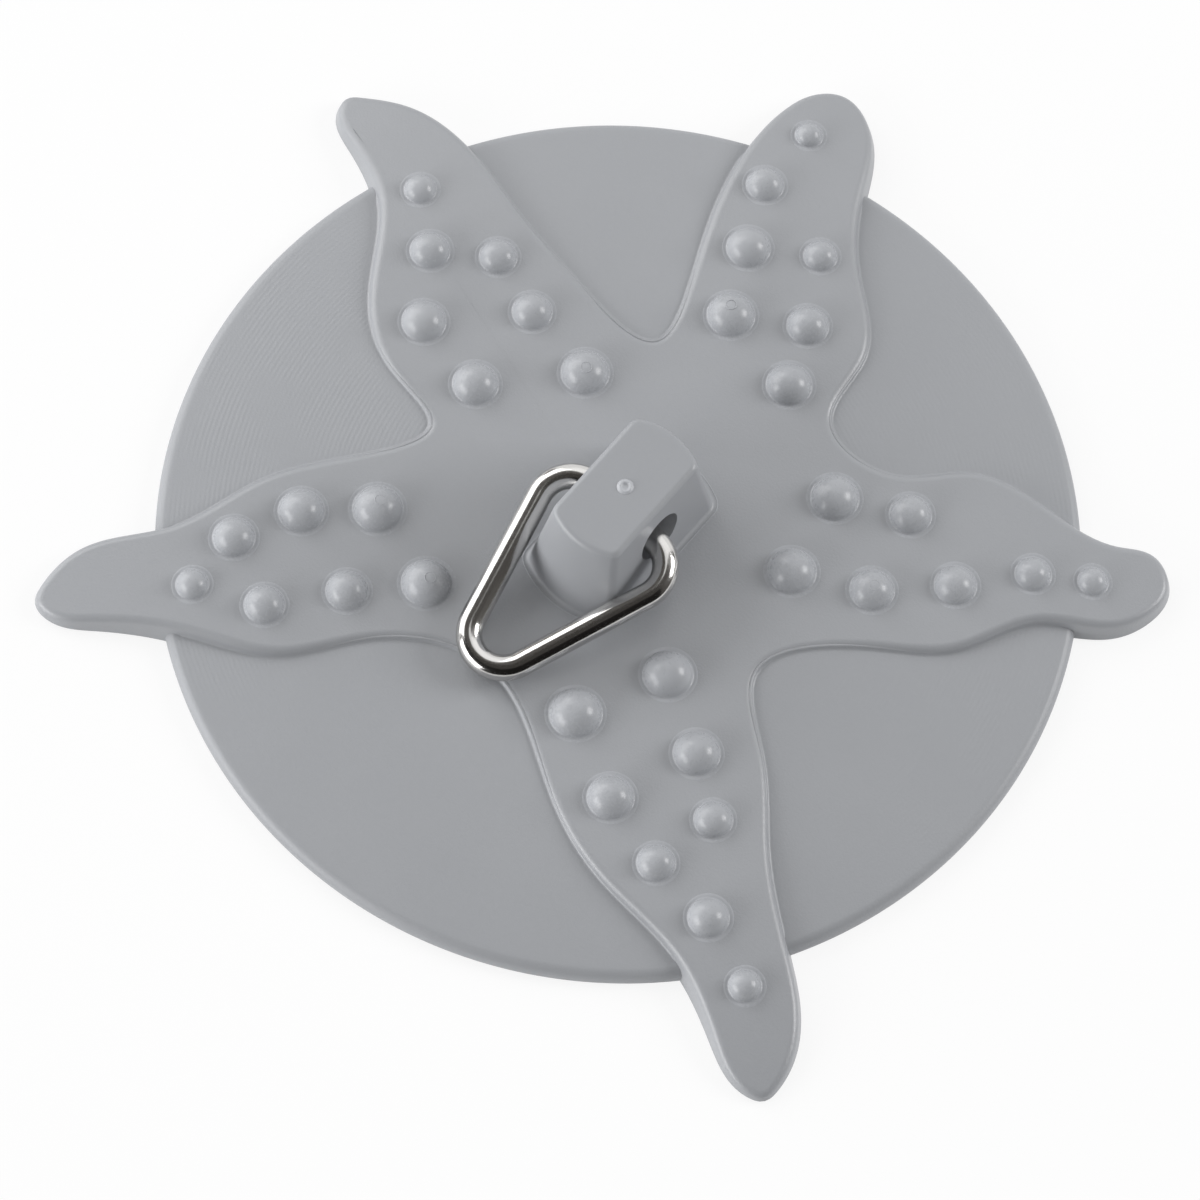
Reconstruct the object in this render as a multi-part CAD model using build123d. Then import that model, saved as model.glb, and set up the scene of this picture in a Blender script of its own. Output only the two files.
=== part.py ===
# Drain stopper: a flat sealing disc with a starfish relief, a flat-sided lug and a loose wire ring.
# Millimetres, +Z up. The origin is the middle of the disc's flat underside.
from build123d import *
from math import asin, atan2, cos, hypot, radians, sin, sqrt, tan
import os

os.makedirs("parts", exist_ok=True)

# Sealing disc: flat underneath, gently domed on top, with a rounded rim
DISC_DIAMETER = 105.0
DISC_CENTRE_THICKNESS = 3.1
DISC_RIM_THICKNESS = 1.6
DISC_CROWN_START = 20.0
RIM_ROUND = 1.2

# The disc's crown: how many falls it has, each steeper than the last, and the size of their rounded
# joins as a share of the join's distance from the middle
CROWN_FALLS = 3
CROWN_ROUND_SHARE = 0.9

# Starfish relief: flat over the middle, its arms falling away to thin tips beyond the disc
STAR_RISE = 0.5
STAR_TIP_HEIGHT = 1.1
STAR_FALL_START = 38.0
ARM_REACH = 67.0
ARM_HALF_WIDTH = 10.0
WALL_DRAFT = 14.0
EDGE_ROUND = 1.0

# Domes on the arms
DOME_RADIUS = 2.5
DOME_RISE_SHARE = 0.85

# Lug: a drafted round post with two flats, drilled across for the ring
LUG_TOP = 16.3
LUG_TOP_RADIUS = 8.5
LUG_TOP_HALF_FLATS = 4.6
LUG_DRAFT = 11.0
LUG_FLAT_DRAFT = 6.5
LUG_CORNER_ROUND = 1.3
LUG_EDGE_ROUND = 0.6
LUG_FOOT_FILLET = 0.4
HOLE_RADIUS = 3.1
HOLE_HEIGHT = 10.25

# Pull ring: round wire bent to a rounded triangle, its straight side loose in the hole
WIRE_DIAMETER = 3.0
RING_HALF_BASE = 10.1
RING_APEX_HEIGHT = 32.5
RING_BEND_RADIUS = 3.95
RING_JOINT_GAP = 0.15
RING_YAW = 5.6
RING_SHIFT = 0.35
WIRE_CLEARANCE = 0.1

# Each arm: bearing in degrees, then as shares of the arm reach or of the arm half width its tip,
# the stations along it and its half widths at them to the right and left, seen from the middle.
# The valley is the outline's innermost point before the arm: its bearing and its share of the reach.
ARM_SHARES = [
    dict(bearing=-38.4, reach=0.997, tip=(0.15, 0.11), valley=(-92.4, 0.331),
         station=(0.448, 0.597, 0.746, 0.896),
         right=(1.40, 1.06, 0.45, 0.20), left=(0.97, 0.79, 0.72, 0.65)),
    dict(bearing=33.5, reach=0.922, tip=(0.14, 0.35), valley=(-9.0, 0.339),
         station=(0.448, 0.582, 0.716, 0.843),
         right=(1.05, 0.95, 0.48, 0.41), left=(1.07, 1.20, 0.86, 0.51)),
    dict(bearing=104.6, reach=0.921, tip=(-0.02, 0.37), valley=(70.0, 0.416),
         station=(0.478, 0.612, 0.746, 0.866),
         right=(1.60, 1.13, 0.74, 0.51), left=(0.57, 0.69, 0.68, 0.45)),
    dict(bearing=160.0, reach=0.940, tip=(-0.08, 0.11), valley=(119.0, 0.364),
         station=(0.448, 0.597, 0.739, 0.873),
         right=(1.16, 1.02, 0.95, 0.61), left=(1.22, 0.94, 0.26, 0.12)),
    dict(bearing=227.5, reach=0.976, tip=(-0.10, 0.15), valley=(188.2, 0.376),
         station=(0.448, 0.597, 0.746, 0.896),
         right=(1.29, 1.12, 0.71, 0.59), left=(0.92, 0.96, 0.54, 0.23)),
]
TIP_SETBACK_SHARE = 0.45
TIP_SPREAD_SHARE = 0.9

# Domes of each arm, in the same order: share of the reach along the arm, share of the half width
# to its left, and share of the dome radius
DOME_SHARES = [
    [(0.269, 0.15, 1.12), (0.307, -0.96, 1.17), (0.416, 0.26, 1.03), (0.464, -0.79, 1.03),
     (0.536, 0.27, 0.85), (0.591, -0.46, 0.85), (0.700, -0.03, 0.90), (0.824, 0.20, 0.72)],
    [(0.354, 0.69, 1.08), (0.484, 0.59, 0.94), (0.294, -0.26, 1.08), (0.431, -0.38, 0.99),
     (0.570, -0.21, 0.94), (0.699, 0.04, 0.81), (0.801, 0.05, 0.68)],
    [(0.824, 0.12, 0.63), (0.699, 0.31, 0.85), (0.575, 0.15, 0.99), (0.615, -0.64, 0.76),
     (0.446, -0.02, 1.08), (0.485, -0.87, 0.94), (0.370, -0.98, 1.03)],
    [(0.721, -0.18, 0.72), (0.610, 0.12, 0.90), (0.542, -0.52, 0.85), (0.499, 0.63, 0.99),
     (0.424, -0.51, 0.90), (0.355, 0.51, 1.03), (0.281, -0.65, 1.08)],
    [(0.725, 0.03, 0.72), (0.646, -0.47, 0.94), (0.528, -0.69, 1.03), (0.400, -0.61, 1.12),
     (0.610, 0.39, 0.90), (0.470, 0.34, 0.94), (0.336, 0.36, 1.12)],
]

DISC_RADIUS = DISC_DIAMETER / 2
STAR_HEIGHT = DISC_CENTRE_THICKNESS + STAR_RISE
WIRE_RADIUS = WIRE_DIAMETER / 2


def on_arm(arm, along, left):
    """Plan point at a distance along an arm's bearing and a distance to its left."""
    turn = radians(arm["bearing"])
    return along * cos(turn) - left * sin(turn), along * sin(turn) + left * cos(turn)


def arm_outline(arm):
    """Plan points of the valley before an arm, its right side, its tip and its left side."""
    bearing, depth = arm["valley"]
    valley = ARM_REACH * depth * cos(radians(bearing)), ARM_REACH * depth * sin(radians(bearing))
    reach = ARM_REACH * arm["reach"]
    middle, spread = (ARM_HALF_WIDTH * share for share in arm["tip"])
    right = [(ARM_REACH * a, -ARM_HALF_WIDTH * w) for a, w in zip(arm["station"], arm["right"])]
    left = [(ARM_REACH * a, ARM_HALF_WIDTH * w) for a, w in zip(arm["station"], arm["left"])]
    shoulder = reach - spread * TIP_SETBACK_SHARE
    tip = [(shoulder, middle - spread * TIP_SPREAD_SHARE),
           (reach, middle),
           (shoulder, middle + spread * TIP_SPREAD_SHARE)]
    return [valley] + [on_arm(arm, a, w) for a, w in right + tip + left[::-1]]


def star_points(outset):
    """Plan points of the whole starfish, each moved outwards by the outset."""
    points = [point for arm in ARM_SHARES for point in arm_outline(arm)]
    moved = []
    for before, (x, y), after in zip(points[-1:] + points, points, points[1:] + points[:1]):
        dx, dy = after[0] - before[0], after[1] - before[1]
        length = hypot(dx, dy)
        moved.append((x + outset * dy / length, y - outset * dx / length))
    return moved


def star_wire(height, outset):
    """The smooth closed outline at one height, cut into edges at every valley and every tip."""
    points = [Vector(x, y, height) for x, y in star_points(outset)]
    per_arm = len(points) // len(ARM_SHARES)
    tip_index = len(ARM_SHARES[0]["station"]) + 2
    whole = Spline(points, periodic=True)
    breaks = []
    for first in range(0, len(points), per_arm):
        breaks += [points[first], points[first + tip_index]]
    places = [whole.param_at_point(point) for point in breaks[1:]]
    return Wire([whole.trim(a, b) for a, b in zip([0.0] + places, places + [1.0])])


def crown_drop(distance, flat_radius, outer_radius, outer_drop):
    """How far a crown has fallen at a distance from the middle: it steepens evenly past its flat."""
    return outer_drop * (max(0, distance - flat_radius) / (outer_radius - flat_radius)) ** 2


def sealing_disc():
    """Flat underside, a flat middle and a crowned ring round it that thins to the rounded rim."""
    step = (DISC_RADIUS - DISC_CROWN_START) / CROWN_FALLS
    drop = DISC_CENTRE_THICKNESS - DISC_RIM_THICKNESS
    joins = [DISC_CROWN_START + step * count for count in range(CROWN_FALLS + 1)]
    crown = [(join, DISC_CENTRE_THICKNESS - crown_drop(join, DISC_CROWN_START, DISC_RADIUS, drop))
             for join in joins]
    profile = make_face(Polyline((0, DISC_CENTRE_THICKNESS), *crown, (DISC_RADIUS, 0), (0, 0), close=True))
    for join in crown[:-1]:
        profile = fillet(profile.vertices().sort_by_distance(join)[0], CROWN_ROUND_SHARE * join[0])
    rim_corner = profile.vertices().group_by(Axis.X)[-1].sort_by(Axis.Y)[-1]
    return revolve(Plane.XZ * fillet(rim_corner, RIM_ROUND), Axis.Z)


def star_top(distance):
    """Height of the starfish's top at a distance from the middle."""
    return STAR_HEIGHT - crown_drop(distance, STAR_FALL_START, ARM_REACH, STAR_HEIGHT - STAR_TIP_HEIGHT)


def star_cap():
    """Envelope of the starfish's top: flat over the middle, then falling past the tips to the ground."""
    fall = (ARM_REACH - STAR_FALL_START) * sqrt(STAR_HEIGHT / (STAR_HEIGHT - STAR_TIP_HEIGHT))
    rings = [STAR_FALL_START + fall * share for share in (1, 1 / 2, 0)]
    return loft([Pos(0, 0, star_top(radius)) * Circle(radius) for radius in rings])


def outer_edges(faces):
    """Edges that bound a set of neighbouring faces: those that only one of them has."""
    edges = [edge for face in faces for edge in face.edges()]
    return [edge for edge in edges if sum(edge.is_same(other) for other in edges) == 1]


def starfish():
    """Drafted starfish slab with its top edge rounded all the way round."""
    foot = star_wire(0, STAR_HEIGHT * tan(radians(WALL_DRAFT)))
    slab = Solid.make_loft([foot, star_wire(STAR_HEIGHT, 0)], ruled=True)
    star = (slab & star_cap()).solid()
    tops = [face for face in star.faces() if face.geom_type != GeomType.BSPLINE and face.center().Z > 0]
    return fillet(outer_edges(tops), EDGE_ROUND)


def dome(arm, shares):
    """A round dome: a ball sunk in the arm so that it shows the named rise and base radius."""
    along, left, size = shares
    x, y = on_arm(arm, ARM_REACH * along, ARM_HALF_WIDTH * left)
    base = DOME_RADIUS * size
    rise = base * DOME_RISE_SHARE
    ball = (base ** 2 + rise ** 2) / (2 * rise)
    return Pos(x, y, star_top(hypot(x, y)) + rise - ball) * Sphere(ball, rotation=(0, 90, 0))


def lug_section(height):
    """Round section with two flats, larger towards the foot by the draft of each side."""
    depth = LUG_TOP - height
    radius = LUG_TOP_RADIUS + depth * tan(radians(LUG_DRAFT))
    half_flats = LUG_TOP_HALF_FLATS + depth * tan(radians(LUG_FLAT_DRAFT))
    return Pos(0, 0, height) * (Circle(radius) & Rectangle(2 * half_flats, 2 * radius))


def lug():
    """Drafted post with rounded corners and top edge, drilled crisply through its two flats."""
    post = loft([lug_section(STAR_HEIGHT / 2), lug_section(LUG_TOP)], ruled=True)
    corners = [edge for edge in post.edges() if edge.bounding_box().size.Z > LUG_TOP / 2]
    post = fillet(corners, LUG_CORNER_ROUND)
    post = fillet(post.faces().sort_by(Axis.Z)[-1].edges(), LUG_EDGE_ROUND)
    return post - Pos(0, 0, HOLE_HEIGHT) * Cylinder(HOLE_RADIUS, 4 * LUG_TOP_RADIUS, rotation=(0, 90, 0))


def stopper_body():
    """One moulding: disc, starfish, domes and lug, with a small fillet where the lug stands up."""
    body = sealing_disc() + starfish()
    body += [dome(arm, shares) for arm, row in zip(ARM_SHARES, DOME_SHARES) for shares in row]
    body += lug()
    foot_radius = LUG_TOP_RADIUS + LUG_TOP * tan(radians(LUG_DRAFT))
    foot = [edge for edge in body.edges()
            if abs(edge.bounding_box().max.Z - STAR_HEIGHT) + edge.bounding_box().size.Z < LUG_FOOT_FILLET / 2
            and hypot((edge @ 0).X, (edge @ 0).Y) < foot_radius]
    return fillet(foot, LUG_FOOT_FILLET)


def wire_wander():
    """How far the turned wire strays from the hole's middle where it comes out of the flats."""
    half_flats = LUG_TOP_HALF_FLATS + (LUG_TOP - HOLE_HEIGHT) * tan(radians(LUG_FLAT_DRAFT))
    return half_flats * tan(radians(RING_YAW))


def ring_plane():
    """Plane of the ring at rest: X along its straight side, Y up its middle to the apex.

    The wire hangs as low in the hole as its wander lets it, whichever way the ring is swung, and the
    apex lies on the starfish.
    """
    height = HOLE_HEIGHT - (HOLE_RADIUS - WIRE_RADIUS - WIRE_CLEARANCE - wire_wander())
    half_angle = atan2(RING_HALF_BASE, RING_APEX_HEIGHT)
    reach = RING_APEX_HEIGHT - RING_BEND_RADIUS * (1 / sin(half_angle) - 1)
    dip = asin((height - STAR_HEIGHT - WIRE_RADIUS - WIRE_CLEARANCE) / reach)
    turn = radians(RING_YAW)
    side = Vector(cos(turn), -sin(turn), 0)
    up = Vector(-sin(turn) * cos(dip), -cos(turn) * cos(dip), -sin(dip))
    return Plane(origin=(RING_SHIFT, 0, height), x_dir=side, z_dir=side.cross(up))


def pull_ring():
    """Round wire swept round a triangle with three bends, butted in the middle of its straight side."""
    half_gap = RING_JOINT_GAP / 2
    path = FilletPolyline((half_gap, 0), (RING_HALF_BASE, 0), (0, RING_APEX_HEIGHT), (-RING_HALF_BASE, 0),
                          (-half_gap, 0), radius=RING_BEND_RADIUS)
    section = Plane(origin=path @ 0, z_dir=path % 0) * Circle(WIRE_RADIUS)
    return ring_plane() * sweep(section, path)


for name, shape in (("stopper_body", stopper_body()), ("pull_ring", pull_ring())):
    export_step(shape, f"parts/{name}.step")
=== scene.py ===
"""Drain stopper: the looks of the grey rubber starfish stopper and its polished pull ring."""

from math import asin, atan2, cos, pi, radians, sin, sqrt, tan

import bpy
import numpy as np
from mathutils import Matrix, Vector


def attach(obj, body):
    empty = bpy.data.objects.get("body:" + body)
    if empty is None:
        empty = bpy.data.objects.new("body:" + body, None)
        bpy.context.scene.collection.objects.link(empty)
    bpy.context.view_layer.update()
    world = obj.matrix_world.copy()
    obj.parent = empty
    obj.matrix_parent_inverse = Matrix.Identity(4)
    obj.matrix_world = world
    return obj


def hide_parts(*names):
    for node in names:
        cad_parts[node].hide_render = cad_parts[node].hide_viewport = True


MM = 0.001

# ---- Sizes of the moulding, in millimetres ----
DISC_RADIUS = 52.5
DISC_THICKNESS = 3.1
DISC_RIM_THICKNESS = 1.6
DISC_CROWN_START = 20.0
RIM_ROUND = 1.2
RIM_STEPS = 14
DISC_COLUMNS = 900
STAR_HEIGHT = 3.6
STAR_TIP_HEIGHT = 1.1
STAR_FALL_START = 38.0
ARM_REACH = 67.0
ARM_HALF_WIDTH = 10.0
WALL_SLOPE = tan(radians(14.0))
EDGE_ROUND = 1.0
EDGE_STEPS = 9
STAR_COLUMNS = 1500

# Rows of the disc: radii over its flat middle and crown, and points of its side and underside
DISC_TOP_RADII = np.concatenate([[0.05, 6, 12, 18, 20],
                                 np.linspace(22, DISC_RADIUS - RIM_ROUND - 0.4, 26)])
DISC_UNDERSIDE = [(DISC_RADIUS, 0.15), (DISC_RADIUS, 0), (DISC_RADIUS - 0.5, 0), (40, 0), (20, 0),
                  (0.05, 0)]

# Rows of the starfish: shares of the way out over its top, of the way down its wall, and of the way
# out along its underside, which is lifted by so much where the disc lies under it
TOP_SHARES = np.concatenate([np.linspace(0.02, 0.9, 18), 1 - np.geomspace(0.08, 0.004, 7)])
WALL_SHARES = np.array([0.2, 0.4, 0.6, 0.8, 0.97, 1])
UNDER_SHARES = np.array([0.99, 0.97, 0.93, 0.86, 0.6, 0.02])
UNDER_LIFT = 0.3
UNDER_LIFT_START = 0.2
UNDER_LIFT_RUN = 0.8

# The hollow round at the starfish's foot: the run in from the disc's rim over which it grows, the
# least share of it, how far out and up it starts and ends, and how deep its hidden rows lie. Past the
# rim it is drawn in and put so far under the starfish's top, which is over where the round has grown to
# 1 / FOOT_DRAWING of its size.
FOOT_ROUND = 0.35
FOOT_STEPS = 7
FOOT_GROWTH = 1.5
FOOT_LEAST = 0.02
FOOT_START = (-0.06, 0.15)
FOOT_END = (0.12, -0.02)
FOOT_BURIED = 0.3
FOOT_DRAWN_IN = 0.7
FOOT_UNDER_TOP = 0.6
FOOT_DRAWING = 4

# Rounds in which a place on the wall is found, and the step that gives a surface's slope
MEETING_ROUNDS = 20
SLOPE_STEP = 0.01

# Domes
DOME_RADIUS = 2.5
DOME_RISE_SHARE = 0.85
DOME_ROOT = 2.2
DOME_FOOT_ROUND = 0.25
DOME_LINE_OFFSET = 0.42
DOME_LINE_WIDTH = 0.26
DOME_LINE_HEIGHT = 0.013
DOME_COLUMNS = 52
DENT_DEPTH = 0.02
DENT_WAVES = (3.1, 4.3)

# Rows of the line round a dome: offset in half widths from its middle, and height, from the sunk root
# inwards to a skin just over the starfish's top
DOME_SKIN = 0.003
LINE_OFFSETS = np.array([2, 2, 1, 0.5, 0, -0.5, -1])
LINE_HEIGHTS = np.array([-DOME_ROOT, -0.03, DOME_SKIN, DOME_LINE_HEIGHT * 0.8, DOME_LINE_HEIGHT,
                         DOME_LINE_HEIGHT * 0.8, DOME_SKIN])

# Lug
LUG_TOP = 16.3
LUG_TOP_RADIUS = 8.5
LUG_TOP_HALF_FLATS = 4.6
LUG_SLOPE = tan(radians(11.0))
LUG_FLAT_SLOPE = tan(radians(6.5))
LUG_CORNER_ROUND = 1.3
LUG_EDGE_ROUND = 0.6
LUG_FOOT_ROUND = 0.45
LUG_SUNK = 0.3
LUG_TOP_SHARES = (0.93, 0.8, 0.6, 0.4, 0.2, 0.02)
HOLE_RADIUS = 3.1
HOLE_HEIGHT = 10.25
HOLE_SIDES = 96
HOLE_CUTTER_HALF = 14.0
SHARP_ANGLE = radians(40)

# Fine line that the lug's mould insert left round its foot
LUG_LINE_OUTSET = 0.66
LUG_LINE_WIDTH = 0.16
LUG_LINE_HEIGHT = 0.03
LUG_LINE_SUNK = 0.02

# Gate mark on the lug's top: radius and height over it, from its foot to its middle
GATE_PROFILE = [(1.05, -0.03), (0.85, 0.04), (0.72, 0.18), (0.6, 0.24), (0.46, 0.17), (0.36, 0.03),
                (0.2, 0.012), (0.03, 0.012)]
GATE_COLUMNS = 40

# Pull ring
WIRE_RADIUS = 1.5
RING_HALF_BASE = 10.1
RING_APEX_HEIGHT = 32.5
RING_BEND_RADIUS = 3.95
RING_JOINT_GAP = 0.15
RING_YAW = radians(5.6)
RING_SHIFT = 0.35
WIRE_CLEARANCE = 0.1
WIRE_COLUMNS = 44
WIRE_END_RADII = (0.01, WIRE_RADIUS - 0.1, WIRE_RADIUS - 0.02)

# Each arm: bearing in degrees, tip reach, side and spread, the valley before it, and the stations
# along it with the half widths right and left, as shares of ARM_REACH and ARM_HALF_WIDTH
ARM_SHARES = [
    dict(bearing=-38.4, reach=0.997, tip=(0.15, 0.11), valley=(-92.4, 0.331),
         station=(0.448, 0.597, 0.746, 0.896),
         right=(1.40, 1.06, 0.45, 0.20), left=(0.97, 0.79, 0.72, 0.65)),
    dict(bearing=33.5, reach=0.922, tip=(0.14, 0.35), valley=(-9.0, 0.339),
         station=(0.448, 0.582, 0.716, 0.843),
         right=(1.05, 0.95, 0.48, 0.41), left=(1.07, 1.20, 0.86, 0.51)),
    dict(bearing=104.6, reach=0.921, tip=(-0.02, 0.37), valley=(70.0, 0.416),
         station=(0.478, 0.612, 0.746, 0.866),
         right=(1.60, 1.13, 0.74, 0.51), left=(0.57, 0.69, 0.68, 0.45)),
    dict(bearing=160.0, reach=0.940, tip=(-0.08, 0.11), valley=(119.0, 0.364),
         station=(0.448, 0.597, 0.739, 0.873),
         right=(1.16, 1.02, 0.95, 0.61), left=(1.22, 0.94, 0.26, 0.12)),
    dict(bearing=227.5, reach=0.976, tip=(-0.10, 0.15), valley=(188.2, 0.376),
         station=(0.448, 0.597, 0.746, 0.896),
         right=(1.29, 1.12, 0.71, 0.59), left=(0.92, 0.96, 0.54, 0.23)),
]
TIP_SETBACK_SHARE = 0.45
TIP_SPREAD_SHARE = 0.9

# Domes of each arm: share of the reach along it, of the half width to its left, of the dome radius
DOME_SHARES = [
    [(0.269, 0.15, 1.12), (0.307, -0.96, 1.17), (0.416, 0.26, 1.03), (0.464, -0.79, 1.03),
     (0.536, 0.27, 0.85), (0.591, -0.46, 0.85), (0.700, -0.03, 0.90), (0.824, 0.20, 0.72)],
    [(0.354, 0.69, 1.08), (0.484, 0.59, 0.94), (0.294, -0.26, 1.08), (0.431, -0.38, 0.99),
     (0.570, -0.21, 0.94), (0.699, 0.04, 0.81), (0.801, 0.05, 0.68)],
    [(0.824, 0.12, 0.63), (0.699, 0.31, 0.85), (0.575, 0.15, 0.99), (0.615, -0.64, 0.76),
     (0.446, -0.02, 1.08), (0.485, -0.87, 0.94), (0.370, -0.98, 1.03)],
    [(0.721, -0.18, 0.72), (0.610, 0.12, 0.90), (0.542, -0.52, 0.85), (0.499, 0.63, 0.99),
     (0.424, -0.51, 0.90), (0.355, 0.51, 1.03), (0.281, -0.65, 1.08)],
    [(0.725, 0.03, 0.72), (0.646, -0.47, 0.94), (0.528, -0.69, 1.03), (0.400, -0.61, 1.12),
     (0.610, 0.39, 0.90), (0.470, 0.34, 0.94), (0.336, 0.36, 1.12)],
]
# Domes that carry a small round vent mark: arm, dome, and the mark's offset from the top in mm
VENT_MARKS = [(3, 6, 0.2, -0.2), (4, 3, 0.1, 0.3), (1, 3, 0.2, -0.1), (2, 4, -0.3, 0.2),
              (4, 6, 0.4, 0.1)]
VENT_RADIUS = 0.62
VENT_LINE = 0.07
VENT_LINE_FLATNESS = 0.6

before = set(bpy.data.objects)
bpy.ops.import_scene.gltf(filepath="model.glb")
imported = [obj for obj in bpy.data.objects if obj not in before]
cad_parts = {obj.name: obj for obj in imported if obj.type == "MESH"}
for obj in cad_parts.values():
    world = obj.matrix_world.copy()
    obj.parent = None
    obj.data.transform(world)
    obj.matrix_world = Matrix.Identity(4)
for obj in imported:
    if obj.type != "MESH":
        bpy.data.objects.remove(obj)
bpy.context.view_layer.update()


# ---- Meshes ----
def grid_faces(rows, columns, closed_columns=True, closed_rows=False):
    """Quads of a grid whose point (row, column) has the index row * columns + column."""
    r = np.arange(rows if closed_rows else rows - 1)[:, None]
    c = np.arange(columns if closed_columns else columns - 1)[None, :]
    r1, c1 = (r + 1) % rows, (c + 1) % columns
    quads = [r * columns + c, r * columns + c1, r1 * columns + c1, r1 * columns + c]
    return np.stack([np.broadcast_to(q, (r.size, c.size)) for q in quads], axis=-1).reshape(-1, 4)


def plain_object(name, points, faces):
    """A mesh object from an (n, 3) array in millimetres and a list of face index rows."""
    mesh = bpy.data.meshes.new(name)
    mesh.from_pydata((np.asarray(points) * MM).tolist(), [], [list(map(int, f)) for f in faces])
    item = bpy.data.objects.new(name, mesh)
    bpy.context.scene.collection.objects.link(item)
    return item


def shade_smooth(mesh):
    """Shades every face of a mesh smoothly."""
    mesh.polygons.foreach_set("use_smooth", np.ones(len(mesh.polygons), dtype=bool))
    mesh.update()


def solid_faces(grid, start=0, flip=False, capped=True):
    """Faces of a (rows, columns, 3) grid closed along its columns, and shut at its first and last rows.

    Capped, each of those rows gets one flat face; otherwise the last row is joined to the first.
    """
    rows, columns = grid.shape[:2]
    faces = [list(f) for f in grid_faces(rows, columns, closed_rows=not capped) + start]
    if capped:
        faces.append([start + i for i in range(columns)][::-1])
        faces.append([start + (rows - 1) * columns + i for i in range(columns)])
    return [f[::-1] for f in faces] if flip else faces


def solid(name, grids, body, material, flip=False, capped=True):
    """A smooth piece from several closed grids, on one body."""
    faces, start = [], 0
    for grid in grids:
        faces += solid_faces(grid, start, flip, capped)
        start += grid.shape[0] * grid.shape[1]
    piece = plain_object(name, np.vstack([grid.reshape(-1, 3) for grid in grids]), faces)
    piece.data.materials.append(material)
    shade_smooth(piece.data)
    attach(piece, body)
    return piece


def turned(radii, heights, columns):
    """Grid of a profile turned about the upright axis, one row for each of its points."""
    turn = np.linspace(0, 2 * pi, columns, endpoint=False)
    radii, heights = np.asarray(radii)[:, None], np.asarray(heights)[:, None]
    return np.dstack([radii * np.cos(turn), radii * np.sin(turn), heights + 0 * turn])


def unit(rows):
    """Each row of an array scaled to length one."""
    return rows / np.linalg.norm(rows, axis=1)[:, None]


# ---- Disc, and the heights of disc and starfish ----
def crown_drop(distance, flat, outer, outer_drop):
    """Fall of a crown at a distance from the middle: nought to its flat's edge, then quadratic."""
    return outer_drop * (np.maximum(0, distance - flat) / (outer - flat)) ** 2


def disc_top(distance):
    """Height of the disc: its crown, then a quarter round of RIM_ROUND down to the rim's side."""
    crown = DISC_THICKNESS - crown_drop(distance, DISC_CROWN_START, DISC_RADIUS,
                                        DISC_THICKNESS - DISC_RIM_THICKNESS)
    past = np.clip((distance - DISC_RADIUS + RIM_ROUND) / RIM_ROUND, 0, 1)
    return crown - RIM_ROUND * (1 - np.sqrt(1 - past ** 2))


def star_top(distance):
    """Height of the starfish's top: flat to STAR_FALL_START, then falling quadratically to the tips."""
    return STAR_HEIGHT - crown_drop(distance, STAR_FALL_START, ARM_REACH, STAR_HEIGHT - STAR_TIP_HEIGHT)


def disc_grid():
    """The disc: out over its crown, round the rim, down its side and back in along the underside."""
    rim = DISC_RADIUS - RIM_ROUND + RIM_ROUND * np.sin(np.linspace(0, pi / 2, RIM_STEPS))
    top = np.concatenate([DISC_TOP_RADII, rim])
    under_radii, under_heights = zip(*DISC_UNDERSIDE)
    return turned(np.append(top, under_radii), np.append(disc_top(top), under_heights), DISC_COLUMNS)


# ---- Starfish ----
def on_arm(arm, along, left):
    """Plan point at a distance along an arm's bearing and a distance to its left."""
    turn = radians(arm["bearing"])
    return along * cos(turn) - left * sin(turn), along * sin(turn) + left * cos(turn)


def arm_outline(arm):
    """Plan points of the valley before an arm, its right side, its tip and its left side."""
    bearing, depth = arm["valley"]
    valley = ARM_REACH * depth * cos(radians(bearing)), ARM_REACH * depth * sin(radians(bearing))
    reach = ARM_REACH * arm["reach"]
    middle, spread = (ARM_HALF_WIDTH * share for share in arm["tip"])
    right = [(ARM_REACH * a, -ARM_HALF_WIDTH * w) for a, w in zip(arm["station"], arm["right"])]
    left = [(ARM_REACH * a, ARM_HALF_WIDTH * w) for a, w in zip(arm["station"], arm["left"])]
    shoulder = reach - spread * TIP_SETBACK_SHARE
    tip = [(shoulder, middle - spread * TIP_SPREAD_SHARE), (reach, middle),
           (shoulder, middle + spread * TIP_SPREAD_SHARE)]
    return [valley] + [on_arm(arm, a, w) for a, w in right + tip + left[::-1]]


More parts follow.
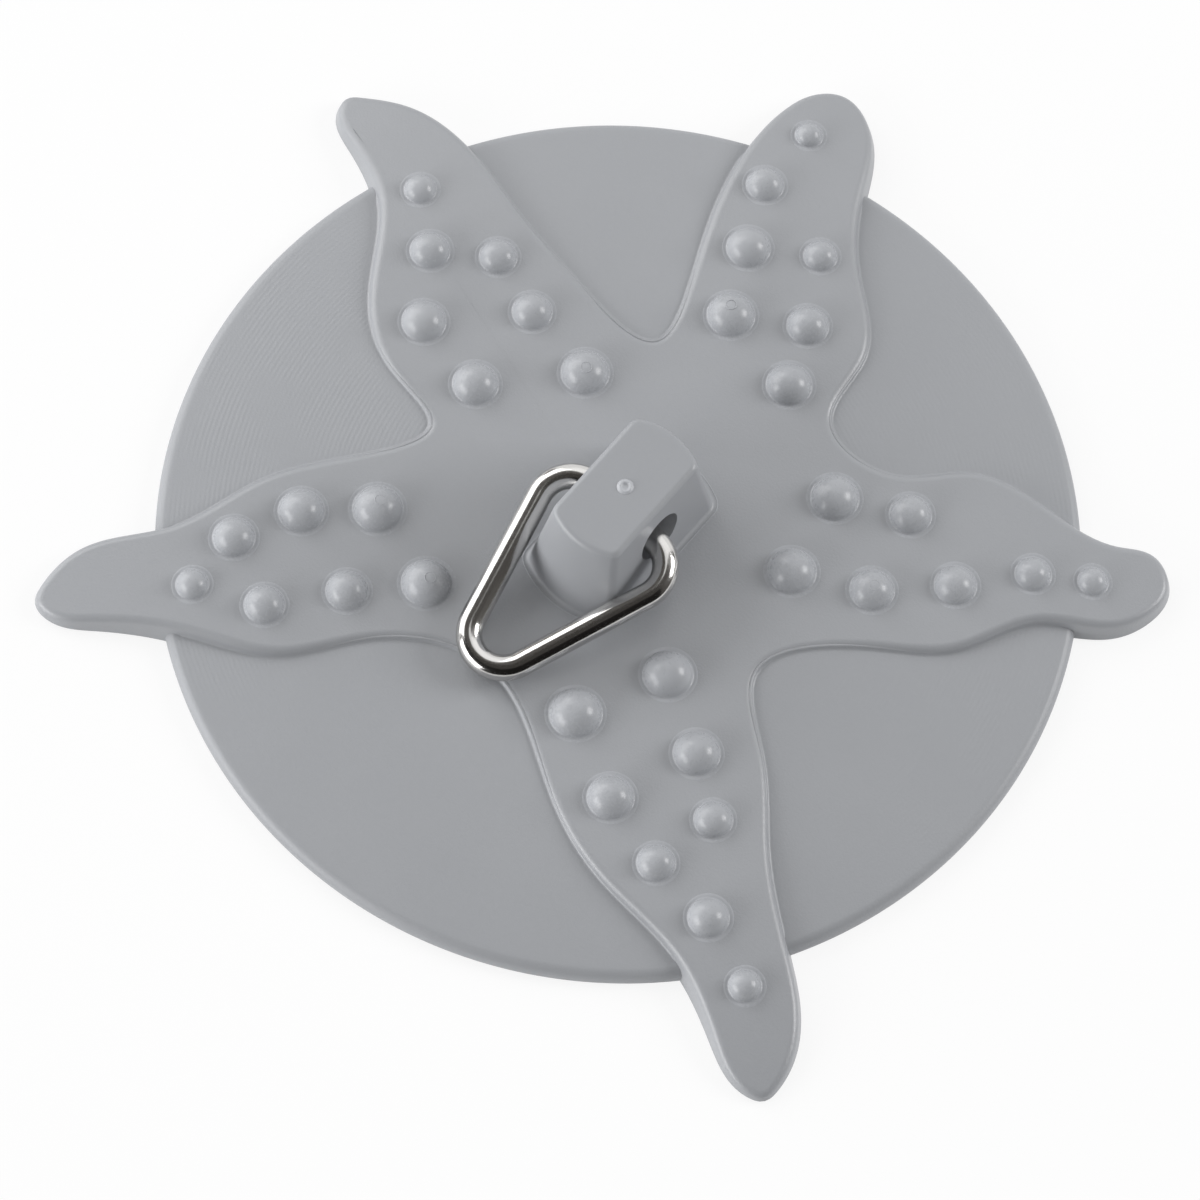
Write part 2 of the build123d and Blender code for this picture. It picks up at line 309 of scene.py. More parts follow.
def smooth_outline(count):
    """Points and outward normals of a closed cubic spline through the outline's points.

    The spline's parameter is the chord length. Its second derivatives solve the cyclic system that
    makes the slope run on through every point, and each span is then the usual cubic between them.
    """
    knots = np.array([point for arm in ARM_SHARES for point in arm_outline(arm)])
    n = len(knots)
    gaps = np.linalg.norm(np.roll(knots, -1, axis=0) - knots, axis=1)
    before = np.roll(gaps, 1)
    system = np.zeros((n, n))
    index = np.arange(n)
    system[index, index] = 2 * (gaps + before)
    system[index, (index + 1) % n] = gaps
    system[index, index - 1] = before
    ahead = (np.roll(knots, -1, axis=0) - knots) / gaps[:, None]
    bends = np.linalg.solve(system, 6 * (ahead - np.roll(ahead, 1, axis=0)))
    starts = np.concatenate([[0], np.cumsum(gaps)])
    where = np.linspace(0, starts[-1], count, endpoint=False)
    span = np.clip(np.searchsorted(starts, where, side="right") - 1, 0, n - 1)
    h = gaps[span][:, None]
    b = ((where - starts[span]) / gaps[span])[:, None]
    a = 1 - b
    p0, p1 = knots[span], knots[(span + 1) % n]
    m0, m1 = bends[span], bends[(span + 1) % n]
    points = a * p0 + b * p1 + ((a ** 3 - a) * m0 + (b ** 3 - b) * m1) * h ** 2 / 6
    slopes = (p1 - p0) / h + ((3 * b ** 2 - 1) * m1 - (3 * a ** 2 - 1) * m0) * h / 6
    slopes = unit(slopes)
    return points, np.stack([slopes[:, 1], -slopes[:, 0]], axis=1)


def rounding(corner, first, second, radius, steps):
    """Rows of points on the arc of one radius that rounds a corner between two directions.

    corner, first and second are (n, 2) arrays in the section plane, the directions being unit vectors
    from the corner. The arc touches both at radius / tan(half the angle between them), and its points
    go round its middle at equal angles.
    """
    half = np.arccos(np.clip((first * second).sum(1), -1, 1))[:, None] / 2
    run = radius / np.tan(half)
    middle = corner + unit(first + second) * (radius / np.sin(half))
    start, end = corner + first * run - middle, corner + second * run - middle
    sweep = pi - 2 * half
    shares = np.linspace(0, 1, steps)[:, None, None]
    swept = start * np.sin((1 - shares) * sweep) + end * np.sin(shares * sweep)
    return middle + swept / np.sin(sweep)


def outside(outline, across):
    """Plan points at distances out from the outline's points, along its normals."""
    points, normals = outline
    return points + normals * across[:, None]


def upright(outline, section):
    """Grid of a section that stands square to the outline: rows of distances out and heights."""
    return np.array([np.column_stack([outside(outline, row[:, 0]), row[:, 1]]) for row in section])


def wall_meets(outline, surface):
    """Where the wall meets a turned surface, and how far that surface rises per millimetre outwards.

    The wall goes WALL_SLOPE out per millimetre down from STAR_HEIGHT. Each round puts the surface's
    height at the last place back into the wall's line, which settles as the surface is nearly flat.
    """
    height = np.full(len(outline[0]), STAR_HEIGHT)
    for _ in range(MEETING_ROUNDS):
        across = (STAR_HEIGHT - height) * WALL_SLOPE
        height = surface(np.linalg.norm(outside(outline, across), axis=1))
    beyond = surface(np.linalg.norm(outside(outline, across + SLOPE_STEP), axis=1))
    return np.stack([across, height], axis=1), (beyond - height) / SLOPE_STEP


def wall_down(columns):
    """The wall's direction downwards in the section, as a unit vector for each column."""
    return unit(np.broadcast_to([WALL_SLOPE, -1.0], (columns, 2)))


def starfish_grid(outline):
    """The starfish: each column is the upright section square to the outline at one of its points.

    It goes out from the middle of the top, over the rounded edge where the wall would meet the top,
    down the drafted wall to the ground, and back in along the underside.
    """
    corner, slope = wall_meets(outline, star_top)
    inward = unit(np.stack([-np.ones(len(slope)), -slope], axis=1))
    edge = upright(outline, rounding(corner, inward, wall_down(len(slope)), EDGE_ROUND, EDGE_STEPS))
    top = edge[0, :, :2] * TOP_SHARES[:, None, None]
    ground = upright(outline, [np.broadcast_to([STAR_HEIGHT * WALL_SLOPE, 0], corner.shape)])[0]
    wall = edge[-1] + WALL_SHARES[:, None, None] * (ground - edge[-1])
    under = ground[:, :2] * UNDER_SHARES[:, None, None]
    from_rim = DISC_RADIUS - UNDER_LIFT_START - np.linalg.norm(under, axis=2)
    lift = UNDER_LIFT * np.clip(from_rim / UNDER_LIFT_RUN, 0, 1)
    return np.concatenate([np.dstack([top, star_top(np.linalg.norm(top, axis=2))]), edge, wall,
                           np.dstack([under, lift])])


def disc_level(distance):
    """Height of the disc's crown, carried on level from where the rim's round starts."""
    return disc_top(np.minimum(distance, DISC_RADIUS - RIM_ROUND))


def starfish_foot_grid(outline):
    """The hollow round where the starfish's wall meets the disc's top, as a closed band.

    It starts inside the wall and ends under the disc, and is shut by rows buried in the starfish.
    Past the disc's rim, where there is no foot, all of it is drawn back under the starfish's top.
    """
    corner, slope = wall_meets(outline, disc_level)
    top, _ = wall_meets(outline, star_top)
    distance = np.linalg.norm(outside(outline, corner[:, 0]), axis=1)
    over_disc = np.clip((DISC_RADIUS - RIM_ROUND - distance) / FOOT_GROWTH, 0, 1)
    radius = FOOT_ROUND * np.maximum(over_disc, FOOT_LEAST)[:, None]
    outward = unit(np.stack([np.ones(len(slope)), slope], axis=1))
    fillet = rounding(corner, -wall_down(len(slope)), outward, radius, FOOT_STEPS)
    start, end = fillet[0] + FOOT_START, fillet[-1] + FOOT_END
    buried = np.stack([start[:, 0], end[:, 1]], axis=1) - FOOT_BURIED
    section = np.stack([start, *fillet, end, end - (0, FOOT_BURIED), buried, start - (FOOT_BURIED, 0)])
    past_rim = 1 - np.clip(over_disc * FOOT_DRAWING, 0, 1)
    section[..., 0] -= FOOT_DRAWN_IN * past_rim
    section[..., 1] -= np.maximum(0, corner[:, 1] + FOOT_UNDER_TOP - top[:, 1]) * past_rim
    return upright(outline, section)


# ---- Domes ----
def dome_ball(base):
    """A dome's rise, and the radius of the ball that has this rise over the dome's base radius."""
    rise = base * DOME_RISE_SHARE
    return rise, (base ** 2 + rise ** 2) / (2 * rise)


def dome_grid(x, y, base):
    """One dome: rows are circles about its upright axis, from the fine mould line outside it to its top.

    The line is a low ridge round the foot. The ball has the radius that gives the named rise over the
    named base radius, and a hollow round of DOME_FOOT_ROUND touches both it and the ground: its middle
    lies one round above the ground, at ball + round from the ball's middle. Two crossed sine waves of
    DENT_DEPTH make each dome a little uneven. Every height is counted from the starfish's top.
    """
    rise, ball = dome_ball(base)
    middle = rise - ball
    foot = sqrt((ball + DOME_FOOT_ROUND) ** 2 - (DOME_FOOT_ROUND - middle) ** 2)
    sweep = np.linspace(-pi / 2, atan2(middle - DOME_FOOT_ROUND, -foot), 6)
    climb = np.linspace(asin(foot / (ball + DOME_FOOT_ROUND)), 0.02, 24)[1:]
    line = base + DOME_LINE_OFFSET + DOME_LINE_WIDTH / 2 * LINE_OFFSETS
    radii = np.concatenate([line, [foot + 0.02], foot + DOME_FOOT_ROUND * np.cos(sweep),
                            ball * np.sin(climb)])[:, None]
    heights = np.concatenate([LINE_HEIGHTS, [DOME_SKIN], DOME_FOOT_ROUND * (1 + np.sin(sweep)),
                              middle + ball * np.cos(climb)])[:, None]
    turn = np.linspace(0, 2 * pi, DOME_COLUMNS, endpoint=False)
    out = radii / base
    dents = (np.sin(DENT_WAVES[0] * out * np.cos(turn + x) + y)
             + np.sin(DENT_WAVES[1] * out * np.sin(turn + y) + x)) * np.clip(heights / rise, 0, 1)
    px, py = x + radii * np.cos(turn), y + radii * np.sin(turn)
    settle = np.clip(out, 0, 1) ** 2
    ground = settle * star_top(np.hypot(px, py)) + (1 - settle) * star_top(np.hypot(x, y))
    return np.dstack([px, py, ground + heights + DENT_DEPTH * dents])


def dome_places():
    """Plan place and base radius of every dome, arm by arm."""
    return [[(*on_arm(arm, ARM_REACH * a, ARM_HALF_WIDTH * s), DOME_RADIUS * size) for a, s, size in row]
            for arm, row in zip(ARM_SHARES, DOME_SHARES)]


def vent_mark(x, y, base, dx, dy, around=30, across=8):
    """A fine raised line round a small circle that lies on a dome near its top.

    The line is a flattened ring whose middle follows the ball's height over the plan place.
    """
    rise, ball = dome_ball(base)
    turn = np.linspace(0, 2 * pi, around, endpoint=False)
    spin = np.linspace(0, 2 * pi, across, endpoint=False)[:, None]
    radius = VENT_RADIUS + VENT_LINE * np.cos(spin)
    px, py = dx + radius * np.cos(turn), dy + radius * np.sin(turn)
    height = np.sqrt(ball ** 2 - px ** 2 - py ** 2) + rise - ball
    height += VENT_LINE * VENT_LINE_FLATNESS * np.sin(spin)
    return np.dstack([x + px, y + py, star_top(np.hypot(x, y)) + height])


# ---- Lug ----
def lug_section(radius, half_flats, corner, per_part=24, per_corner=10):
    """Closed loop of a round section with two flats, its four corners rounded.

    Going round: the flat at +X, a corner arc, the round side at +Y, a corner arc, and the same on the
    other side. A corner arc's middle is one corner radius inside both the flat and the circle.
    """
    cx = half_flats - corner
    cy = sqrt((radius - corner) ** 2 - cx ** 2)
    lean = atan2(cy, cx)
    flat_y = np.linspace(-cy, cy, per_part, endpoint=False)
    arc = np.linspace(0, lean, per_corner, endpoint=False)
    side = np.linspace(lean, pi - lean, 2 * per_part, endpoint=False)
    flat = np.stack([np.full(per_part, half_flats), flat_y], axis=1)
    first = np.stack([cx + corner * np.cos(arc), cy + corner * np.sin(arc)], axis=1)
    round_side = np.stack([radius * np.cos(side), radius * np.sin(side)], axis=1)
    second = np.stack([-first[:, 0], first[:, 1]], axis=1)[::-1]
    second = np.vstack([[radius * cos(pi - lean), radius * sin(pi - lean)], second[:-1]])
    half = np.vstack([flat, first, round_side, second])
    return np.vstack([half, -half])


def lug_sizes(height):
    """Radius and half width over flats of the drafted lug at a height."""
    return (LUG_TOP_RADIUS + (LUG_TOP - height) * LUG_SLOPE,
            LUG_TOP_HALF_FLATS + (LUG_TOP - height) * LUG_FLAT_SLOPE)


def lug_ring(height, outset):
    """The lug's section at a height, grown by an outset, as (n, 3) points."""
    radius, half_flats = lug_sizes(height)
    loop = lug_section(radius + outset, half_flats + outset, LUG_CORNER_ROUND + outset)
    return np.column_stack([loop, np.full(len(loop), height)])


def lug_grid():
    """Rows up the lug: sunk foot, hollow foot fillet, drafted wall, rounded top edge, and the top."""
    rows = [lug_ring(STAR_HEIGHT - LUG_SUNK, LUG_FOOT_ROUND)]
    for turn in np.linspace(0, pi / 2, 7):
        rows.append(lug_ring(STAR_HEIGHT + LUG_FOOT_ROUND * (1 - cos(turn)),
                             LUG_FOOT_ROUND * (1 - sin(turn))))
    wall = STAR_HEIGHT + 1.5 * LUG_FOOT_ROUND, LUG_TOP - 1.5 * LUG_EDGE_ROUND
    rows += [lug_ring(height, 0) for height in np.linspace(*wall, 14)]
    for turn in np.linspace(0, pi / 2, 8):
        rows.append(lug_ring(LUG_TOP - LUG_EDGE_ROUND * (1 - sin(turn)),
                             -LUG_EDGE_ROUND * (1 - cos(turn))))
    rows += [rows[-1] * (share, share, 1) for share in LUG_TOP_SHARES]
    return np.array(rows)


def bored_lug(material):
    """The lug's closed shell with the ring's hole cut through its two flats."""
    lug = solid("lug", [lug_grid()], "stopper", material)
    turn = np.linspace(0, 2 * pi, HOLE_SIDES, endpoint=False)
    tube = np.array([np.column_stack([np.full(HOLE_SIDES, x), HOLE_RADIUS * np.cos(turn),
                                      HOLE_HEIGHT + HOLE_RADIUS * np.sin(turn)])
                     for x in (-HOLE_CUTTER_HALF, HOLE_CUTTER_HALF)])
    cutter = plain_object("hole_cutter", tube.reshape(-1, 3), solid_faces(tube))
    cut = lug.modifiers.new("hole", "BOOLEAN")
    cut.object = cutter
    cut.operation = "DIFFERENCE"
    cut.solver = "EXACT"
    bored = bpy.data.meshes.new_from_object(lug.evaluated_get(bpy.context.evaluated_depsgraph_get()))
    lug.modifiers.remove(cut)
    lug.data = bored
    bpy.data.objects.remove(cutter)
    shade_smooth(bored)
    bored.set_sharp_from_angle(angle=SHARP_ANGLE)


def lug_line_grid(steps=7):
    """A low rounded ridge round the lug's foot: half an ellipse carried along its section, feet sunk."""
    loop = lug_ring(STAR_HEIGHT, LUG_LINE_OUTSET)[:, :2]
    tangent = unit(np.roll(loop, -1, axis=0) - np.roll(loop, 1, axis=0))
    normal = np.stack([tangent[:, 1], -tangent[:, 0]], axis=1)
    turn = np.linspace(pi, 0, steps)[:, None, None]
    plan = loop + normal * (LUG_LINE_WIDTH / 2 * np.cos(turn))
    height = STAR_HEIGHT + LUG_LINE_HEIGHT * np.sin(turn) - LUG_LINE_SUNK * abs(np.cos(turn))
    return np.dstack([plan, height + 0 * plan[..., :1]])


def gate_grid():
    """The gate mark: a small turned crater on the lug's top."""
    radii, heights = zip(*GATE_PROFILE)
    return turned(radii, LUG_TOP + np.array(heights), GATE_COLUMNS)


# ---- Pull ring ----
def ring_frame():
    """Origin, side and up directions of the ring's plane at rest, as the solid has them."""
    half_flats = LUG_TOP_HALF_FLATS + (LUG_TOP - HOLE_HEIGHT) * LUG_FLAT_SLOPE
    wander = half_flats * tan(RING_YAW)
    height = HOLE_HEIGHT - (HOLE_RADIUS - WIRE_RADIUS - WIRE_CLEARANCE - wander)
    half_angle = atan2(RING_HALF_BASE, RING_APEX_HEIGHT)
    reach = RING_APEX_HEIGHT - RING_BEND_RADIUS * (1 / sin(half_angle) - 1)
    dip = asin((height - STAR_HEIGHT - WIRE_RADIUS - WIRE_CLEARANCE) / reach)
    side = np.array([cos(RING_YAW), -sin(RING_YAW), 0])
    up = np.array([-sin(RING_YAW) * cos(dip), -cos(RING_YAW) * cos(dip), -sin(dip)])
    return np.array([RING_SHIFT, 0, height]), side, up


def ring_path():
    """Points along the wire's centreline in the ring's plane: straight runs joined by tangent arcs.

    At each corner the arc starts one tangent length before it, radius / tan(half its inside angle).
    """
    corners = np.array([(RING_HALF_BASE, 0), (0, RING_APEX_HEIGHT), (-RING_HALF_BASE, 0)])
    ends = np.array([(RING_JOINT_GAP / 2, 0), (-RING_JOINT_GAP / 2, 0)])
    stops = np.vstack([ends[:1], corners, ends[1:]])
    path = [np.array([ends[0]])]
    for before, corner, after in zip(stops[:-2], stops[1:-1], stops[2:]):
        to_before = (before - corner) / np.linalg.norm(before - corner)
        to_after = (after - corner) / np.linalg.norm(after - corner)
        arc = rounding(corner[None], to_before[None], to_after[None], RING_BEND_RADIUS, 40)[:, 0]
        straight = np.linspace(path[-1][-1], arc[0], 40)[1:-1]
        path += [straight, arc]
    path.append(np.linspace(path[-1][-1], ends[1], 24)[1:])
    return np.vstack(path)


def ring_grid():
    """A circle of the wire's radius carried along the path, square to it, its ends closed to a point."""
    path = ring_path()
    tangent = unit(np.gradient(path, axis=0))
    normal = np.stack([-tangent[:, 1], tangent[:, 0]], axis=1)
    radius = np.concatenate([WIRE_END_RADII, np.full(len(path) - 2, WIRE_RADIUS), WIRE_END_RADII[::-1]])
    path, normal = (np.pad(rows, ((2, 2), (0, 0)), mode="edge")[:, None, :] for rows in (path, normal))
    origin, side, up = ring_frame()
    turn = np.linspace(0, 2 * pi, WIRE_COLUMNS, endpoint=False)
    plane = path + normal * (radius[:, None] * np.cos(turn))[..., None]
    lift = radius[:, None] * np.sin(turn)
    return origin + plane[..., :1] * side + plane[..., 1:] * up + lift[..., None] * np.cross(side, up)


# ---- Materials ----
class Sock:
    """A shader socket that takes part in Python arithmetic, each operation adding a Math node."""

    def __init__(self, tree, socket):
        self.tree, self.socket = tree, socket

    def _math(self, operation, *values):
        return self.tree.node("ShaderNodeMath", dict(operation=operation), dict(enumerate(values)))

    def __add__(self, other):
        return self._math("ADD", self, other)

    __radd__ = __add__

    def __mul__(self, other):
        return self._math("MULTIPLY", self, other)

    __rmul__ = __mul__

    def __truediv__(self, other):
        return self._math("DIVIDE", self, other)

    def __rtruediv__(self, other):
        return self._math("DIVIDE", other, self)

    def wave(self):
        """Its sine."""
        return self._math("SINE", self)

    def between(self, low, high):
        """0 below low, 1 above high, and smooth between them."""
        return self.tree.node("ShaderNodeMapRange", dict(interpolation_type="SMOOTHSTEP"),
                              {0: self, 1: low, 2: high})


class Nodes:
    """A node tree to which one method adds every node."""

    def __init__(self, tree):
        self.nodes, self.links = tree.nodes, tree.links

    def feed(self, node, inputs):
        """Gives a node's sockets their values or links."""
        for key, value in inputs.items():
            if isinstance(value, Sock):
                self.links.new(value.socket, node.inputs[key])
            else:
                node.inputs[key].default_value = value

    def node(self, kind, settings=None, inputs=None, output=0):
        """Adds a node with its settings, then its values or links, and returns one output."""
        node = self.nodes.new(kind)
        for key, value in (settings or {}).items():
            setattr(node, key, value)
        self.feed(node, inputs or {})
        return Sock(self, node.outputs[output])

    def in_sight(self):
        """1 for the rays by which a camera, a mirror or glass sees, and 0 for those that carry light."""
        camera, mirror, glass = (self.node("ShaderNodeLightPath", output=f"Is {kind} Ray")
                                 for kind in ("Camera", "Glossy", "Transmission"))
        return camera + mirror + glass


class Finish(Nodes):
    """A node material built from one Principled shader and expressions on its inputs."""

    def __init__(self, name):
        self.material = bpy.data.materials.new(name)
        self.material.use_nodes = True
        super().__init__(self.material.node_tree)
        self.shader = self.nodes["Principled BSDF"]

    def place(self):
        """Object coordinates, in metres."""
        return self.node("ShaderNodeTexCoord", output="Object")

    def noise(self, size_mm, detail=2.0, roughness=0.5):
        """Noise with features of about a size in millimetres, 0 to 1."""
        return self.node("ShaderNodeTexNoise", None,
                         {"Vector": self.place(), "Scale": 1 / (size_mm * MM), "Detail": detail,
                          "Roughness": roughness})

    def from_middle(self):
        """Distance in millimetres from the stopper's upright axis."""
        flat = self.node("ShaderNodeVectorMath", dict(operation="MULTIPLY"),
                         {0: self.place(), 1: (1, 1, 0)})
        length = self.node("ShaderNodeVectorMath", dict(operation="LENGTH"), {0: flat}, output="Value")
        return length * (1 / MM)

    def blend(self, factor, first, second):
        """A colour that goes from the first to the second with the factor."""
        return self.node("ShaderNodeMix", dict(data_type="RGBA"),
                         {0: factor, 6: (*first, 1), 7: (*second, 1)}, output=2)

    def bump(self, height, depth_mm, under=None):
        """Raises the surface by a 0 to 1 height of so many millimetres."""
        inputs = {"Height": height, "Strength": 1.0, "Distance": depth_mm * MM}
        if under:
            inputs["Normal"] = under
        return self.node("ShaderNodeBump", None, inputs)

    def set(self, **values):
        """Sets or links inputs of the Principled shader, named with _ for a space."""
        self.feed(self.shader, {key.replace("_", " "): value for key, value in values.items()})


RUBBER_DARK = (0.318, 0.328, 0.347)
RUBBER_LIGHT = (0.352, 0.361, 0.379)
STEEL_DARK = (0.60, 0.59, 0.575)
STEEL_LIGHT = (0.70, 0.69, 0.675)

# Concentric lines of the disc: spacing and depth in millimetres, how far they wander, the direction in
# plan along which they show, the squared shares of that direction between which they come up, and the
# noise values between which worn patches end
LINES_SPACING = 0.55
LINES_DEPTH = 0.014
LINES_WANDER = 4.0
LINES_TOWARDS = (-0.84, -0.54)
LINES_SHOW = (0.25, 0.95)
LINES_WORN = (0.3, 0.6)


def rubber(name, gloss, grain_depth=0.025, extra=None, painted_light_gain=1.0, sheen=0.75):
    """Matt grey rubber: soft cloudy shade, a fine moulded grain, and a slightly uneven sheen."""
    finish = Finish(name)
    cloud = finish.noise(14, 3)
    speck = finish.noise(0.45, 1)
    # Scaling the colour up makes it lighter: painted light, for pieces that look lighter only because of
    # how light falls on them.
    dark, light = (tuple(c * painted_light_gain for c in shade) for shade in (RUBBER_DARK, RUBBER_LIGHT))
    finish.set(Base_Color=finish.blend(cloud * 0.7 + speck * 0.3, dark, light),
               Roughness=gloss + cloud * 0.06 + speck * 0.05, IOR=1.49, Specular_IOR_Level=sheen)
    if grain_depth:
        grain = finish.bump(finish.noise(0.3, 3, 0.6), grain_depth)
        finish.set(Normal=extra(finish, grain) if extra else grain)
    return finish.material


def turned_lines(finish, under):
    """Fine concentric lines that the turned mould left on the disc, worn away towards two sides.

    They are the sine of the distance from the middle, which noise makes wander. They show where the
    bearing's cosine to LINES_TOWARDS, squared, is large, and other noise wears patches out of them.
    """
    distance = finish.from_middle()
    phase = distance * (2 * pi / LINES_SPACING) + finish.noise(5, 2) * LINES_WANDER
    towards = {0: finish.place(), 1: (LINES_TOWARDS[0] / MM, LINES_TOWARDS[1] / MM, 0)}
    across = finish.node("ShaderNodeVectorMath", dict(operation="DOT_PRODUCT"), towards, output="Value")
    share = across / distance
    shown = (share * share).between(*LINES_SHOW) * finish.noise(7, 2).between(*LINES_WORN)
    return finish.bump((phase.wave() * 0.5 + 0.5) * shown, LINES_DEPTH, under)


def steel():
    """Polished stainless wire with faint drawing marks."""
    finish = Finish("polished_steel")
    marks = finish.noise(0.5, 3, 0.6)
    smear = finish.noise(5, 2)
    finish.set(Base_Color=finish.blend(smear, STEEL_DARK, STEEL_LIGHT), Metallic=1.0,
               Roughness=0.1 + marks * 0.08 + smear * 0.05, Normal=finish.bump(marks, 0.004))
    return finish.material


def build_object():
    """Every piece of the stopper and its ring."""
    relief = rubber("rubber_relief", 0.32)
    disc_rubber = rubber("rubber_disc", 0.42, extra=turned_lines)
    # The domes' rubber is painted lighter than the rest: painted light standing in for the glow that light
    # scattered in the soft rubber and their polish give them. The vent marks and the lug's mould line share
    # it.
    dome_rubber_painted_light = rubber("rubber_domes_painted_light", 0.22, grain_depth=0, painted_light_gain=1.19, sheen=0.42)
    lug_rubber = rubber("rubber_lug", 0.32, grain_depth=0.01, sheen=0.6)

    body = solid("sealing_disc", [disc_grid()], "stopper", disc_rubber, flip=True)
    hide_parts("stopper_body")

    outline = smooth_outline(STAR_COLUMNS)
    solid("starfish", [starfish_grid(outline)], "stopper", relief, flip=True)
    solid("starfish_foot", [starfish_foot_grid(outline)], "stopper", relief, flip=True,
          capped=False)

    places = dome_places()
    domes = [dome_grid(*place) for row in places for place in row]
    solid("domes", domes, "stopper", dome_rubber_painted_light)
    marks = [vent_mark(*places[arm][dome], dx, dy) for arm, dome, dx, dy in VENT_MARKS]
    solid("vent_marks", marks, "stopper", dome_rubber_painted_light, capped=False)

    bored_lug(lug_rubber)
    solid("lug_mould_line", [lug_line_grid()], "stopper", dome_rubber_painted_light, flip=True,
          capped=False)
    # The gate mark's rubber is painted much lighter: a painted highlight where its top catches the light.
    solid("gate_mark", [gate_grid()], "stopper", rubber("rubber_gate_painted_highlight", 0.4, painted_light_gain=1.4))

    ring = solid("pull_ring_wire", [ring_grid()], "ring", steel())
    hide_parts("pull_ring")


build_object()


# ---- Stage, lamps and camera ----
CAMERA_PLACE = Vector((145.42, -219.86, 627.18))
CAMERA_RIGHT = Vector((0.7723, 0.6341, 0.0398))
CAMERA_UP = Vector((-0.5994, 0.7064, 0.3764))
CAMERA_FORWARD = Vector((-0.2106, 0.3145, -0.9256))
LENS = 180.0
SENSOR_WIDTH = 36.0
CLIP_NEAR, CLIP_FAR = 0.05, 20.0
WORLD_LIGHT = 0.33
FLOOR_HALF = 6000
FLOOR_LEVEL = -0.3

# Soft boxes: name, bearing and height in degrees, width and length in millimetres, watts
LAMP_DISTANCE = 900
SOFT_BOXES = [
    ("left_box", 186, 20, 740, 860, 5.1),
    ("left_box_over", 158, 38, 240, 560, 1.0),
    ("low_left_box", 241, 13, 740, 420, 5.5),
    ("right_box", 47, 27.5, 400, 400, 4.4),
    ("far_box", 100, 52, 1040, 650, 0.5),
]

# Dark cards: name, the bearings and the heights in degrees between which one spans, its glow
CARD_DISTANCE = 1500
DARK_CARDS = [
    ("near_card", (-146, 0), (1, 55), 0.012),
    ("near_card_over", (-146, 0), (55, 90), 0.06),
    ("right_card", (0, 70), (1, 90), 0.09),
    ("left_card", (150, 214), (1, 90), 0.1),
]
CARD_TINT = (1.0, 0.94, 0.88)
CARD_BASE = (0.02, 0.02, 0.02)
CARD_ROWS, CARD_COLUMNS = 13, 25


def lamp(name, bearing, height, width, length, power):
    """A soft box at LAMP_DISTANCE by its bearing and height in degrees, facing the part's middle."""
    b, h = radians(bearing), radians(height)
    place = Vector((cos(h) * cos(b), cos(h) * sin(b), sin(h))) * LAMP_DISTANCE
    data = bpy.data.lights.new(name, "AREA")
    data.shape = "RECTANGLE"
    data.size, data.size_y = width * MM, length * MM
    data.energy = power
    item = bpy.data.objects.new(name, data)
    bpy.context.scene.collection.objects.link(item)
    item.location = place * MM
    item.rotation_mode = "QUATERNION"
    item.rotation_quaternion = (-place).to_track_quat("-Z", "Y")


def glow_material(name, colour, strength, share=1.0, base=(0.93, 0.93, 0.93)):
    """Matt colour that camera, mirror and glass rays see mixed with a glow of its own."""
    finish = Finish(name)
    finish.set(Base_Color=(*base, 1), Roughness=1.0, Specular_IOR_Level=0.0)
    glow = finish.node("ShaderNodeEmission", None, {"Color": (*colour, 1), "Strength": strength})
    matt = Sock(finish, finish.shader.outputs[0])
    mix = finish.node("ShaderNodeMixShader", None, {0: finish.in_sight() * share, 1: matt, 2: glow})
    finish.feed(finish.nodes["Material Output"], {0: mix})
    return finish.material


def stage_piece(name, points, faces, material):
    """A piece of the studio, from points in millimetres."""
    piece = plain_object(name, points, faces)
    piece.data.materials.append(material)
    return piece


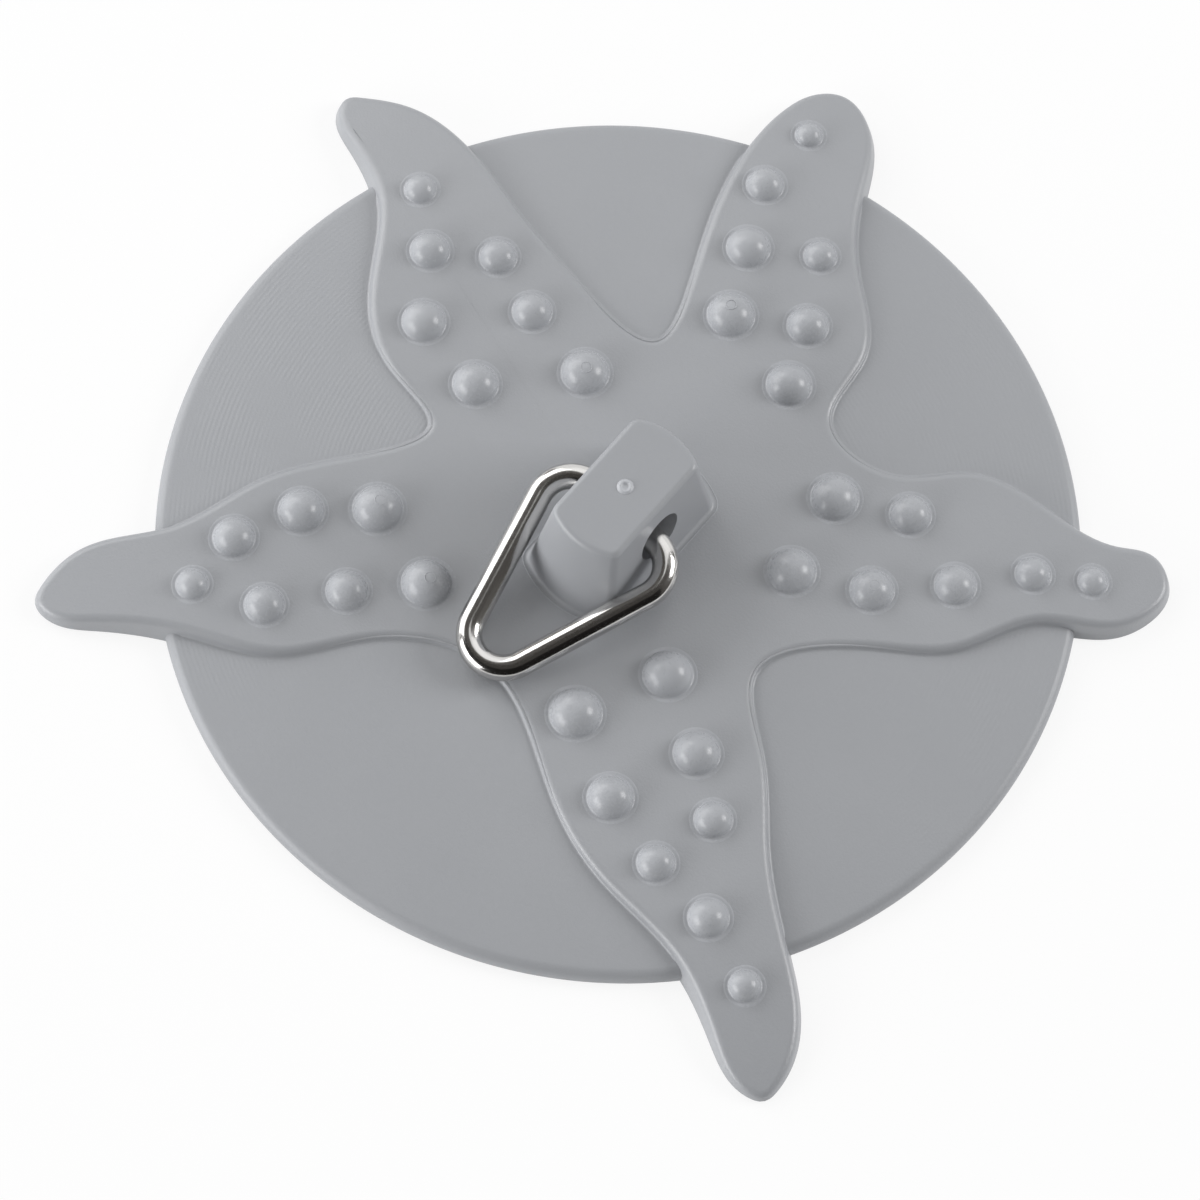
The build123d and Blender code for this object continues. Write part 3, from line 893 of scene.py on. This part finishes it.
def curved_card(name, bearings, heights, shade):
    """A dark card bent to a sphere round the part, between two bearings and two heights in degrees.

    A point lies at CARD_DISTANCE along (cos h cos b, cos h sin b, sin h) for its bearing b and height h.
    Only mirrors see it: it takes no light from the part and hides nothing from a camera.
    """
    b = np.radians(np.linspace(*bearings, CARD_COLUMNS))[None, :]
    h = np.radians(np.linspace(*heights, CARD_ROWS))[:, None]
    grid = CARD_DISTANCE * np.dstack([np.cos(h) * np.cos(b), np.cos(h) * np.sin(b), np.sin(h) + 0 * b])
    card = stage_piece(name, grid.reshape(-1, 3),
                       grid_faces(CARD_ROWS, CARD_COLUMNS, closed_columns=False),
                       glow_material(name, CARD_TINT, shade, base=CARD_BASE))
    card.visible_camera = False
    card.visible_diffuse = False
    card.visible_shadow = False


def studio():
    """White floor and world, the soft boxes, and dark cards with the white showing between them."""
    floor = [(x * FLOOR_HALF, y * FLOOR_HALF, FLOOR_LEVEL) for x, y in ((-1, -1), (1, -1), (1, 1), (-1, 1))]
    stage_piece("floor", floor, [(0, 1, 2, 3)], glow_material("white_floor", (1, 1, 1), 1.0, share=0.85))

    world = bpy.data.worlds.new("studio_world")
    bpy.context.scene.world = world
    world.use_nodes = True
    sky = Nodes(world.node_tree)
    light = sky.node("ShaderNodeMapRange", None, {0: sky.in_sight(), 3: WORLD_LIGHT, 4: 1.0})
    sky.feed(sky.nodes["Background"], {0: (1, 1, 1, 1), 1: light})

    for box in SOFT_BOXES:
        lamp(*box)
    for card in DARK_CARDS:
        curved_card(*card)


def photo_camera():
    """Camera at the photograph's angle and distance, with a long lens."""
    data = bpy.data.cameras.new("photo_camera")
    data.sensor_width, data.lens = SENSOR_WIDTH, LENS
    data.clip_start, data.clip_end = CLIP_NEAR, CLIP_FAR
    camera = bpy.data.objects.new("photo_camera", data)
    bpy.context.scene.collection.objects.link(camera)
    axes = Matrix((CAMERA_RIGHT, CAMERA_UP, -CAMERA_FORWARD)).transposed()
    camera.matrix_world = Matrix.Translation(CAMERA_PLACE * MM) @ axes.to_4x4()
    bpy.context.scene.camera = camera


studio()
photo_camera()
bpy.context.scene.view_settings.view_transform = "Standard"

bpy.context.view_layer.update()
